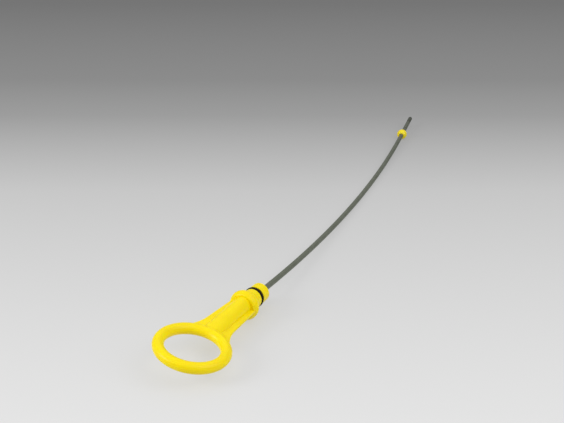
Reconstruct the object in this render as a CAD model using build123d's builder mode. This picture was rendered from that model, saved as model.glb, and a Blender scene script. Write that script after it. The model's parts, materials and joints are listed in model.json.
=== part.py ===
from build123d import *
import os
from math import atan2, cos, degrees, radians, sin, sqrt, tan

# Engine oil dipstick: a moulded handle with a finger ring and a sealing plug, its O-ring, a bent round
# stick and the guide bead near the stick's tip. Lengths are in millimetres, angles in degrees.
# The pieces are modelled on the plug's axis, with X towards the tip, Y to the ring's left, Z out of the
# ring's plane and the origin in the seat, and are then laid down together as they come to rest.

# Finger ring
ring_outer_diameter = 40.0
ring_section_diameter = 6.0

# Shank: an oval core that thickens from the ring to the collar, with a thin fin along each side, the fins
# widening into the ring
shank_length = 31.6
core_width = 10.6
core_root_sink = 0.2
core_collar_thickness = 13.2
fin_span = 15.0
fin_taper = 2.5
fin_thickness = 1.7
fin_edge_radius = 0.5
flare_radius = 26.0

# Collar, plug and seal
collar_diameter = 17.0
collar_thickness = 5.9
seat_diameter = 13.8
plug_diameter = 11.0
neck_length = 6.7
groove_width = 3.0
groove_depth = 2.15
nose_length = 7.1
nose_lead_in = 1.0
o_ring_section = 2.5

# Stick, from where it leaves the plug to its tip
stick_diameter = 3.2
socket_depth = 22.0
stick_length = 345.5
straight_run = 10.0
bend_angle = 10.7
bend_lean = 20.0
bead_lead = 6.0
tip_length = 40.0
tip_chamfer = 0.5
low_mark_from_tip = 9.0
mark_spacing = 18.0
mark_width = 1.0
mark_depth = 0.25

# Guide bead
bead_diameter = 8.0
bead_length = 6.6

# Radial room between pieces that are pressed together
press_clearance = 0.02

# Radii
ring_section_radius = ring_section_diameter / 2
ring_radius = ring_outer_diameter / 2 - ring_section_radius
collar_radius = collar_diameter / 2
seat_radius = seat_diameter / 2
plug_radius = plug_diameter / 2
groove_floor_radius = plug_radius - groove_depth
o_ring_radius = groove_floor_radius + press_clearance + o_ring_section / 2
stick_radius = stick_diameter / 2
socket_radius = stick_radius + press_clearance
bead_radius = bead_diameter / 2

# Places along the plug's axis, counted from the seat
collar_middle = -collar_thickness / 2
collar_back = -collar_thickness
ring_edge = collar_back - shank_length
ring_centre = ring_edge - ring_outer_diameter / 2
ring_section_middle = ring_centre + ring_radius
groove_start = neck_length
groove_end = groove_start + groove_width
groove_middle = groove_start + groove_width / 2
nose_end = groove_end + nose_length
socket_floor = nose_end - socket_depth
bend_start = nose_end + straight_run

# The long bend takes what the straight parts leave of the stick
bend_length = stick_length - straight_run - bead_lead - tip_length
bend_radius = bend_length / radians(bend_angle)

# The core starts a little under the skin of the ring
core_root_thickness = ring_section_diameter - 2 * core_root_sink

# The fins end inside the ring's section, at this share of the depth at which they would break through
fin_bite_share = 0.9
fin_bite = fin_bite_share * sqrt(ring_section_radius**2 - (fin_thickness / 2) ** 2)

# The handle, one moulding
with BuildPart() as handle:
    # Fins, one sheet that flares out into the ring
    fin_half = fin_span / 2
    fin_root_half = fin_half + (collar_middle - ring_centre) * tan(radians(fin_taper))
    with BuildSketch() as fins:
        with Locations((ring_centre, 0)):
            Circle(ring_radius + fin_bite)
        with BuildLine():
            Polyline(
                (ring_centre, fin_root_half),
                (collar_middle, fin_half),
                (collar_middle, -fin_half),
                (ring_centre, -fin_root_half),
                close=True,
            )
        make_face()
        fillet(fins.vertices().group_by(Axis.X)[0], flare_radius)
        with Locations((ring_centre, 0)):
            Circle(ring_radius - fin_bite, mode=Mode.SUBTRACT)
    extrude(amount=fin_thickness / 2, both=True)
    fin_sides = handle.edges().filter_by(GeomType.LINE)
    for axis in (Axis.Y, Axis.Z):
        fin_sides = fin_sides.filter_by(axis, reverse=True)
    fillet(fin_sides, fin_edge_radius)

    # Finger ring of round section
    with BuildSketch(Plane.XZ):
        with Locations((ring_section_middle, 0)):
            Circle(ring_section_radius)
    revolve(axis=Axis((ring_centre, 0, 0), (0, 0, 1)))

    # Core, from the middle of the ring's section into the collar
    with BuildSketch(Plane.YZ.offset(ring_section_middle)):
        Ellipse(core_width / 2, core_root_thickness / 2)
    with BuildSketch(Plane.YZ.offset(collar_middle)):
        Ellipse(core_width / 2, core_collar_thickness / 2)
    loft()

    # Collar and plug, turned about the plug's axis
    with BuildSketch(Plane.XZ):
        with BuildLine():
            Line((collar_back, 0), (collar_back, seat_radius))
            ThreePointArc((collar_back, seat_radius), (collar_middle, collar_radius), (0, seat_radius))
            Polyline(
                (0, seat_radius),
                (0, plug_radius),
                (groove_start, plug_radius),
                (groove_start, groove_floor_radius),
                (groove_end, groove_floor_radius),
                (groove_end, plug_radius),
                (nose_end - nose_lead_in, plug_radius),
                (nose_end, plug_radius - nose_lead_in),
                (nose_end, 0),
                (collar_back, 0),
            )
        make_face()
    revolve(axis=Axis.X)

    # Socket that holds the stick
    with BuildSketch(Plane.YZ.offset(nose_end)):
        Circle(socket_radius)
    extrude(amount=-socket_depth, mode=Mode.SUBTRACT)

# The O-ring, resting on the floor of its groove
with BuildPart() as o_ring:
    with BuildSketch(Plane.XZ):
        with Locations((groove_middle, o_ring_radius)):
            Circle(o_ring_section / 2)
    revolve(axis=Axis.X)

# The stick: straight out of the plug, one long bend, and straight through the bead to the tip
bend_plane = Plane(
    origin=(0, 0, 0),
    x_dir=(1, 0, 0),
    z_dir=(0, -sin(radians(bend_lean)), cos(radians(bend_lean))),
)
with BuildPart() as stick:
    with BuildLine(bend_plane) as route:
        stub = Line((socket_floor + press_clearance, 0), (bend_start, 0))
        bend = JernArc(stub @ 1, stub % 1, bend_radius, bend_angle)
        end_run = Line(bend @ 1, (bend @ 1) + (bend % 1) * (bead_lead + tip_length))
    with BuildSketch(Plane(origin=stub @ 0, z_dir=stub % 0)):
        Circle(stick_radius)
    sweep(path=route.wires()[0])
    chamfer(stick.edges().sort_by(Axis.X)[-1], tip_chamfer)

    # Two level marks turned into the tip
    along = end_run % 1
    tip = end_run @ 1
    for place in (low_mark_from_tip, low_mark_from_tip + mark_spacing):
        with BuildSketch(Plane(origin=tip - along * place, z_dir=along)):
            Circle(stick_radius + mark_depth)
            Circle(stick_radius - mark_depth, mode=Mode.SUBTRACT)
        extrude(amount=mark_width / 2, both=True, mode=Mode.SUBTRACT)

# The guide bead, a ball with flattened ends threaded on the stick
bead_centre = tip - along * tip_length
bead_plane = Plane(origin=bead_centre, x_dir=along, z_dir=bend_plane.z_dir)
with BuildPart() as bead:
    with BuildSketch(bead_plane):
        Circle(bead_radius)
        Rectangle(bead_length, bead_diameter, mode=Mode.INTERSECT)
        with Locations((0, socket_radius)):
            Rectangle(bead_length, bead_diameter, align=(Align.CENTER, Align.MAX), mode=Mode.SUBTRACT)
    revolve(axis=Axis(bead_centre, along))

# Rest: the collar, the bead and the belly of the bend all touch the floor
collar_point = Vector(collar_middle, 0, 0)
to_bead = bead_centre - collar_point


def to_belly(turned):
    """From the collar's point to the bend's centre line, where that has turned by this many degrees."""
    ahead = bend_plane.x_dir * (bend_radius * sin(radians(turned)))
    aside = bend_plane.y_dir * (bend_radius * (1 - cos(radians(turned))))
    return Vector(bend_start, 0, 0) + ahead + aside - collar_point


def up_when_resting(belly):
    """Upward direction of the floor that touches the collar, the bead and this point of the belly."""
    bead_rise = bead_radius - collar_radius
    belly_rise = stick_radius - collar_radius
    bead_square = to_bead.dot(to_bead)
    belly_square = belly.dot(belly)
    product = to_bead.dot(belly)
    spread = bead_square * belly_square - product**2
    bead_share = (bead_rise * belly_square - belly_rise * product) / spread
    belly_share = (belly_rise * bead_square - bead_rise * product) / spread
    in_plane = to_bead * bead_share + belly * belly_share
    # A stick too straight to reach the floor rests with its belly straight down
    out_of_plane = sqrt(max(0.0, 1 - in_plane.length**2))
    return (in_plane + bend_plane.z_dir * out_of_plane).normalized()


# The belly's lowest point and the upward direction depend on each other and settle in a few steps
settling_steps = 8
turned = bend_angle / 2
for step in range(settling_steps):
    up = up_when_resting(to_belly(turned))
    lowest = degrees(atan2(-up.dot(bend_plane.x_dir), up.dot(bend_plane.y_dir)))
    turned = min(max(lowest, 0.0), bend_angle)

# Lie down with X from the collar to the bead, and the origin under the middle of the whole
heading = to_bead - up * to_bead.dot(up)
floor = Plane(origin=collar_point - up * collar_radius, x_dir=heading, z_dir=up)
pieces = (handle, o_ring, stick, bead)
for piece in pieces:
    piece.part.move(floor.location.inverse())
extent = Compound([piece.part for piece in pieces]).bounding_box()
for piece in pieces:
    piece.part.move(Location((-extent.center().X, -extent.center().Y, -extent.min.Z)))

os.makedirs("parts", exist_ok=True)

handle.part.label = "handle"
export_step(handle.part, "parts/handle.step")

o_ring.part.label = "o_ring"
export_step(o_ring.part, "parts/o_ring.step")

stick.part.label = "stick"
export_step(stick.part, "parts/stick.step")

bead.part.label = "bead"
export_step(bead.part, "parts/bead.step")
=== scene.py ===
import json
import math

import bmesh
import bpy
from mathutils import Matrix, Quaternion, Vector


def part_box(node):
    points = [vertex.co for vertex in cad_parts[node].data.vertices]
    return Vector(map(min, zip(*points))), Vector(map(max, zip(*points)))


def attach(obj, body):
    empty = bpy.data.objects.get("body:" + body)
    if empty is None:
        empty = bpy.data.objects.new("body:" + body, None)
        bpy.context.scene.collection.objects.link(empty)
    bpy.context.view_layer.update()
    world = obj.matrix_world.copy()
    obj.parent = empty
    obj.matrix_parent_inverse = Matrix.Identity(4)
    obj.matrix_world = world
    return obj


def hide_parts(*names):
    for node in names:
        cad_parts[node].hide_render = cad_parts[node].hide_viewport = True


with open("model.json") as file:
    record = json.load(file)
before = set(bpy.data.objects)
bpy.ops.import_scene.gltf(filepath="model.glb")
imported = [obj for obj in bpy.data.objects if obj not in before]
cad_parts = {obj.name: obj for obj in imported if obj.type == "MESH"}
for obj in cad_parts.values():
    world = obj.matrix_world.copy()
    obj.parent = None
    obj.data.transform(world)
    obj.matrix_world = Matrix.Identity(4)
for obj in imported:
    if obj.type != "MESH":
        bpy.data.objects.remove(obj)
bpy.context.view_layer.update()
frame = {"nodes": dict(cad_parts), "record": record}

# Looks of the engine oil dipstick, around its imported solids. Lengths are in metres, in the solids' frame.

# The picture's width in pixels, and the camera, placed from the middle of the finger ring
PHOTO_WIDTH = 564
FOCAL_LENGTH_PIXELS = 950
RING_TO_CAMERA = Vector((-0.3576, -0.1901, 0.2476))
CAMERA_YAW = math.radians(21.74)
CAMERA_PITCH = math.radians(-23.26)
NEAREST_SEEN = 0.01
VIEW_AHEAD = Vector((math.cos(CAMERA_YAW), math.sin(CAMERA_YAW), 0))

# The stick: its bend ends the lead before the bead's middle, and its edges are sharp past the sharp angle
BEAD_LEAD = 0.006
STICK_RADIUS = 0.0016
STICK_SIDES = 40
BEND_STATIONS = 64
TIP_CHAMFER = 0.0005
MARKS_FROM_TIP = (0.009, 0.027)
MARK_WIDTH = 0.001
MARK_DEPTH = 0.00025
MARK_EDGE = 0.00008
SHARP_ANGLE = math.radians(35)

# How much darker the stick turns towards its tip, at shares of its length
TIP_DARKENING = [(0.0, 1.0), (0.6, 1.0), (0.965, 0.85), (0.972, 0.55), (1.0, 0.5)]

# The floor: half its width, its greys at distances along the view from the origin, which paint shade that
# darkens it towards the back, and the strength of its painted glow
FLOOR_REACH = 6
FLOOR_SHADE_GREYS = [(-0.25, 0.237), (0.05, 0.177), (0.23, 0.107), (0.35, 0.084), (0.75, 0.06)]
FLOOR_PAINTED_GLOW = 2.2

# The room: its light below and above, and the heights between which it changes, 1 being straight up
ROOM_LIGHT = 0.32
CEILING_LIGHT = 0.85
CEILING_EDGE = (0.4, 0.7)

# Values between which a noise texture mostly stays
NOISE_LOW = 0.3
NOISE_HIGH = 0.7


def middle(corners):
    """Middle of a box given by its lowest and highest corners."""
    low, high = corners
    return (Vector(low) + Vector(high)) / 2


def mount(name):
    """Place and direction of one of the record's mounts."""
    found = next(m for m in frame["record"]["mounts"] if m["name"] == name)
    return Vector(found["pos_m"]), Vector(found["axis"]).normalized()


def show(name, data):
    """New object in the scene that holds a mesh, a lamp or a camera."""
    shown = bpy.data.objects.new(name, data)
    bpy.context.scene.collection.objects.link(shown)
    return shown


# Material nodes


def new_material(name):
    """Material with its node tree and the shader that reaches its output."""
    material = bpy.data.materials.new(name)
    material.use_nodes = True
    tree = material.node_tree
    return material, tree, tree.nodes["Principled BSDF"]


def set_inputs(node, values):
    """Sets inputs of a node by their names."""
    for name, value in values.items():
        node.inputs[name].default_value = value


def feed(tree, shader, colour, roughness, normal):
    """Joins what varies over a surface to its shader."""
    tree.links.new(colour, shader.inputs["Base Color"])
    tree.links.new(roughness, shader.inputs["Roughness"])
    tree.links.new(normal, shader.inputs["Normal"])


def coordinates(tree, kind):
    """Texture coordinates, such as the object's own or those of its UV map."""
    return tree.nodes.new("ShaderNodeTexCoord").outputs[kind]


def vector_math(tree, operation, first):
    """Node that combines a vector with a second one."""
    node = tree.nodes.new("ShaderNodeVectorMath")
    node.operation = operation
    tree.links.new(first, node.inputs[0])
    return node


def noise(tree, place, scale, detail=3.0):
    """Noise texture with this many cells in a unit of its coordinates."""
    texture = tree.nodes.new("ShaderNodeTexNoise")
    set_inputs(texture, {"Scale": scale, "Detail": detail})
    tree.links.new(place, texture.inputs["Vector"])
    return texture.outputs["Fac"]


def map_range(tree, value, start, end, low=0.0, high=1.0, interpolation="LINEAR"):
    """Value that goes from low to high while another goes from start to end."""
    node = tree.nodes.new("ShaderNodeMapRange")
    node.interpolation_type = interpolation
    set_inputs(node, {"From Min": start, "From Max": end, "To Min": low, "To Max": high})
    tree.links.new(value, node.inputs["Value"])
    return node.outputs["Result"]


def ramp(tree, factor, stops):
    """Colour ramp through (position, colour) stops."""
    node = tree.nodes.new("ShaderNodeValToRGB")
    elements = node.color_ramp.elements
    for position, colour in stops[1:-1]:
        elements.new(position)
    for element, (position, colour) in zip(elements, stops):
        element.position = position
        element.color = (*colour, 1)
    tree.links.new(factor, node.inputs["Fac"])
    return node.outputs["Color"]


def grey_ramp(tree, factor, stops):
    """Colour ramp through (position, grey) stops."""
    return ramp(tree, factor, [(position, (grey, grey, grey)) for position, grey in stops])


def mottle(tree, factor, dark, light):
    """Colour that a noise varies between two."""
    return ramp(tree, factor, [(NOISE_LOW, dark), (NOISE_HIGH, light)])


def spread(tree, factor, low, high):
    """Value that a noise varies between two."""
    return map_range(tree, factor, NOISE_LOW, NOISE_HIGH, low, high)


def bump(tree, height, depth):
    """Normal bent by a height texture of this depth."""
    node = tree.nodes.new("ShaderNodeBump")
    node.inputs["Distance"].default_value = depth
    tree.links.new(height, node.inputs["Height"])
    return node.outputs["Normal"]


# Materials


def yellow_plastic(name, shine):
    """Smooth moulded plastic with a faint flow mottle and fine scuffs."""
    material, tree, shader = new_material(name)
    place = coordinates(tree, "Object")
    flow = noise(tree, place, scale=90)
    scuffs = noise(tree, place, scale=700, detail=6)
    grain = noise(tree, place, scale=2500)
    feed(
        tree,
        shader,
        colour=mottle(tree, flow, dark=(0.90, 0.71, 0.0), light=(0.94, 0.75, 0.0)),
        roughness=spread(tree, scuffs, low=0.3, high=0.4),
        normal=bump(tree, grain, depth=0.00002),
    )
    set_inputs(shader, {"Specular IOR Level": shine, "Subsurface Weight": 0.3})
    set_inputs(shader, {"Subsurface Radius": (1.0, 0.7, 0.05), "Subsurface Scale": 0.002})
    return material


def seal_rubber():
    """Dark oil-wet rubber."""
    material, tree, shader = new_material("seal_rubber")
    place = coordinates(tree, "Object")
    smears = noise(tree, place, scale=600)
    grain = noise(tree, place, scale=4000)
    feed(
        tree,
        shader,
        colour=mottle(tree, smears, dark=(0.010, 0.006, 0.002), light=(0.018, 0.011, 0.004)),
        roughness=spread(tree, smears, low=0.5, high=0.65),
        normal=bump(tree, grain, depth=0.00002),
    )
    set_inputs(shader, {"Specular IOR Level": 0.1})
    return material


def stick_steel(length):
    """Dull grey-green steel with drawing lines along the stick, darker towards its tip."""
    material, tree, shader = new_material("stick_steel")
    surface = coordinates(tree, "UV")
    stretch = tree.nodes.new("ShaderNodeMapping")
    stretch.inputs["Scale"].default_value = (60, 4000, 1)
    tree.links.new(surface, stretch.inputs["Vector"])
    lines = noise(tree, stretch.outputs["Vector"], scale=1, detail=4)
    patches = noise(tree, surface, scale=120)
    steel = mottle(tree, patches, dark=(0.144, 0.16, 0.119), light=(0.188, 0.205, 0.16))
    distance = tree.nodes.new("ShaderNodeSeparateXYZ")
    tree.links.new(surface, distance.inputs["Vector"])
    share = map_range(tree, distance.outputs["X"], start=0, end=length)
    # The stick's colour turns darker towards its tip
    darkened = vector_math(tree, "MULTIPLY", steel)
    tree.links.new(grey_ramp(tree, share, TIP_DARKENING), darkened.inputs[1])
    feed(
        tree,
        shader,
        colour=darkened.outputs["Vector"],
        roughness=spread(tree, lines, low=0.42, high=0.6),
        normal=bump(tree, lines, depth=0.00003),
    )
    set_inputs(shader, {"Metallic": 0.6})
    return material


def floor_material():
    """Pale matt table top with a painted glow, and painted shade that darkens it towards the back."""
    material, tree, shader = new_material("floor")
    along = vector_math(tree, "DOT_PRODUCT", coordinates(tree, "Object"))
    along.inputs[1].default_value = VIEW_AHEAD
    nearest = FLOOR_SHADE_GREYS[0][0]
    furthest = FLOOR_SHADE_GREYS[-1][0]
    share = map_range(tree, along.outputs["Value"], nearest, furthest)
    stops = [((distance - nearest) / (furthest - nearest), grey) for distance, grey in FLOOR_SHADE_GREYS]
    # Painted shade: the floor's grey darkens towards the back
    grey = grey_ramp(tree, share, stops)
    tree.links.new(grey, shader.inputs["Base Color"])
    # Painted glow: the floor shines with its own greys, which weakens the shadows on it
    tree.links.new(grey, shader.inputs["Emission Color"])
    set_inputs(shader, {"Emission Strength": FLOOR_PAINTED_GLOW, "Specular IOR Level": 0})
    return material


def studio_world():
    """Pale ceiling over a dim room."""
    world = bpy.data.worlds.new("world")
    world.use_nodes = True
    tree = world.node_tree
    direction = tree.nodes.new("ShaderNodeSeparateXYZ")
    tree.links.new(coordinates(tree, "Generated"), direction.inputs["Vector"])
    strength = map_range(tree, direction.outputs["Z"], *CEILING_EDGE, ROOM_LIGHT, CEILING_LIGHT, "SMOOTHSTEP")
    background = tree.nodes["Background"]
    background.inputs["Color"].default_value = (1, 1, 1, 1)
    tree.links.new(strength, background.inputs["Strength"])
    return world


# Pieces


def dress(node, material):
    """Gives a carried-over solid its material."""
    data = frame["nodes"][node].data
    data.materials.clear()
    data.materials.append(material)


def stick_route():
    """Point and direction at any distance along the stick, its length, its bend's ends and its bend's normal.

    The route runs straight out of the plug, round one long bend and straight through the bead to the tip.
    """
    nose, out = mount("plug_nose")
    corners = [vertex.co for vertex in frame["nodes"]["stick"].data.vertices]
    start = nose + out * min((corner - nose).dot(out) for corner in corners)
    bead = middle(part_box("bead"))
    furthest = max(corner.x for corner in corners)
    tip_corners = [corner for corner in corners if corner.x > furthest - 2 * TIP_CHAMFER]
    home = (sum(tip_corners, Vector()) / len(tip_corners) - bead).normalized()
    tip = bead + home * max((corner - bead).dot(home) for corner in tip_corners)
    normal = out.cross(home).normalized()
    turn = out.angle(home)
    # Where the two straight runs would cross, and from there back to both ends of the bend
    between = bead - start
    crossing = start + out * (between.cross(home).dot(normal) / math.sin(turn))
    reach = (bead - crossing).dot(home) - BEAD_LEAD
    radius = reach / math.tan(turn / 2)
    first_run = (crossing - start).length - reach
    bend_length = radius * turn
    bend_start = start + out * first_run
    bend_end = crossing + home * reach
    length = first_run + bend_length + (tip - bend_end).dot(home)

    def along(distance):
        if distance <= first_run:
            return start + out * distance, out
        if distance >= first_run + bend_length:
            return bend_end + home * (distance - first_run - bend_length), home
        turned = (distance - first_run) / radius
        ahead = Quaternion(normal, turned) @ out
        inward = normal.cross(out)
        offset = out * (radius * math.sin(turned)) + inward * (radius * (1 - math.cos(turned)))
        return bend_start + offset, ahead

    return along, length, (first_run, first_run + bend_length), normal


def stick_profile(length, bend):
    """Distances along the stick with its radius at each: the bend's stations, the level marks and the tip."""
    profile = [(0.0, STICK_RADIUS)]
    for station in range(BEND_STATIONS + 1):
        share = station / BEND_STATIONS
        profile.append((bend[0] + (bend[1] - bend[0]) * share, STICK_RADIUS))
    for from_tip in sorted(MARKS_FROM_TIP, reverse=True):
        near = length - from_tip - MARK_WIDTH / 2
        far = near + MARK_WIDTH
        profile.append((near - MARK_EDGE, STICK_RADIUS))
        profile.append((near, STICK_RADIUS - MARK_EDGE))
        profile.append((near, STICK_RADIUS - MARK_DEPTH))
        profile.append((far, STICK_RADIUS - MARK_DEPTH))
        profile.append((far, STICK_RADIUS - MARK_EDGE))
        profile.append((far + MARK_EDGE, STICK_RADIUS))
    profile.append((length - TIP_CHAMFER, STICK_RADIUS))
    profile.append((length, STICK_RADIUS - TIP_CHAMFER))
    return profile


def make_stick():
    """Round stick swept along its route, with distances along and around its surface as its UV map."""
    along, length, bend, normal = stick_route()
    profile = stick_profile(length, bend)
    mesh = bmesh.new()
    surface = mesh.loops.layers.uv.new("surface")
    rings = []
    for distance, radius in profile:
        point, ahead = along(distance)
        sideways = normal.cross(ahead)
        ring = []
        for side in range(STICK_SIDES):
            angle = 2 * math.pi * side / STICK_SIDES
            outward = normal * math.cos(angle) + sideways * math.sin(angle)
            ring.append(mesh.verts.new(point + outward * radius))
        rings.append(ring)
    side_width = 2 * math.pi * STICK_RADIUS / STICK_SIDES
    for station in range(len(profile) - 1):
        near = rings[station]
        far = rings[station + 1]
        near_distance = profile[station][0]
        far_distance = profile[station + 1][0]
        for side in range(STICK_SIDES):
            after = (side + 1) % STICK_SIDES
            face = mesh.faces.new((near[side], near[after], far[after], far[side]))
            face.smooth = True
            distances = (near_distance, near_distance, far_distance, far_distance)
            sides = (side, side + 1, side + 1, side)
            for loop, distance, steps in zip(face.loops, distances, sides):
                loop[surface].uv = (distance, side_width * steps)
    mesh.faces.new(reversed(rings[0]))
    mesh.faces.new(rings[-1])
    bmesh.ops.recalc_face_normals(mesh, faces=mesh.faces)
    data = bpy.data.meshes.new("stick_drawn")
    mesh.to_mesh(data)
    mesh.free()
    data.set_sharp_from_angle(angle=SHARP_ANGLE)
    data.materials.append(stick_steel(length))
    stick = show("stick_drawn", data)
    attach(stick, "root")
    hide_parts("stick")


# Studio


def place_camera(ring_middle):
    """Camera at the photograph's angle."""
    lens = bpy.data.cameras.new("camera")
    lens.sensor_fit = "HORIZONTAL"
    lens.lens = lens.sensor_width * FOCAL_LENGTH_PIXELS / PHOTO_WIDTH
    lens.clip_start = NEAREST_SEEN
    camera = show("camera", lens)
    camera.location = ring_middle + RING_TO_CAMERA
    looking = VIEW_AHEAD * math.cos(CAMERA_PITCH) + Vector((0, 0, math.sin(CAMERA_PITCH)))
    camera.rotation_euler = looking.to_track_quat("-Z", "Y").to_euler()
    bpy.context.scene.camera = camera


def lay_floor():
    """One wide flat sheet under the dipstick."""
    mesh = bmesh.new()
    bmesh.ops.create_grid(mesh, x_segments=1, y_segments=1, size=FLOOR_REACH)
    data = bpy.data.meshes.new("floor")
    mesh.to_mesh(data)
    mesh.free()
    data.materials.append(floor_material())
    floor = show("floor", data)


def area_light(name, target, azimuth, elevation, distance, size, power):
    """Square lamp that faces a target, placed by its angles from the view's direction, in degrees."""
    level = Quaternion((0, 0, 1), -math.radians(azimuth)) @ VIEW_AHEAD
    towards = level * math.cos(math.radians(elevation)) + Vector((0, 0, math.sin(math.radians(elevation))))
    lamp = bpy.data.lights.new(name, "AREA")
    lamp.size = size
    lamp.energy = power
    light = show(name, lamp)
    light.location = target + towards * distance
    light.rotation_euler = (-towards).to_track_quat("-Z", "Y").to_euler()


# The dipstick: three solids as they are, and a finer stick
dress("handle", yellow_plastic("yellow_plastic", shine=0.2))
dress("bead", yellow_plastic("bead_plastic", shine=0.5))
dress("o_ring", seal_rubber())
make_stick()

# The camera, the floor, a window low on the left, a wide lamp on the right and the ceiling
finger_ring = middle(frame["record"]["physics"]["openings"][0]["box_m"])
place_camera(finger_ring)
lay_floor()
area_light("window", finger_ring, azimuth=-105, elevation=28, distance=0.9, size=0.35, power=3.8)
area_light("right", finger_ring, azimuth=110, elevation=42, distance=1.0, size=0.8, power=3.8)
bpy.context.scene.world = studio_world()
bpy.context.scene.view_settings.view_transform = "Standard"
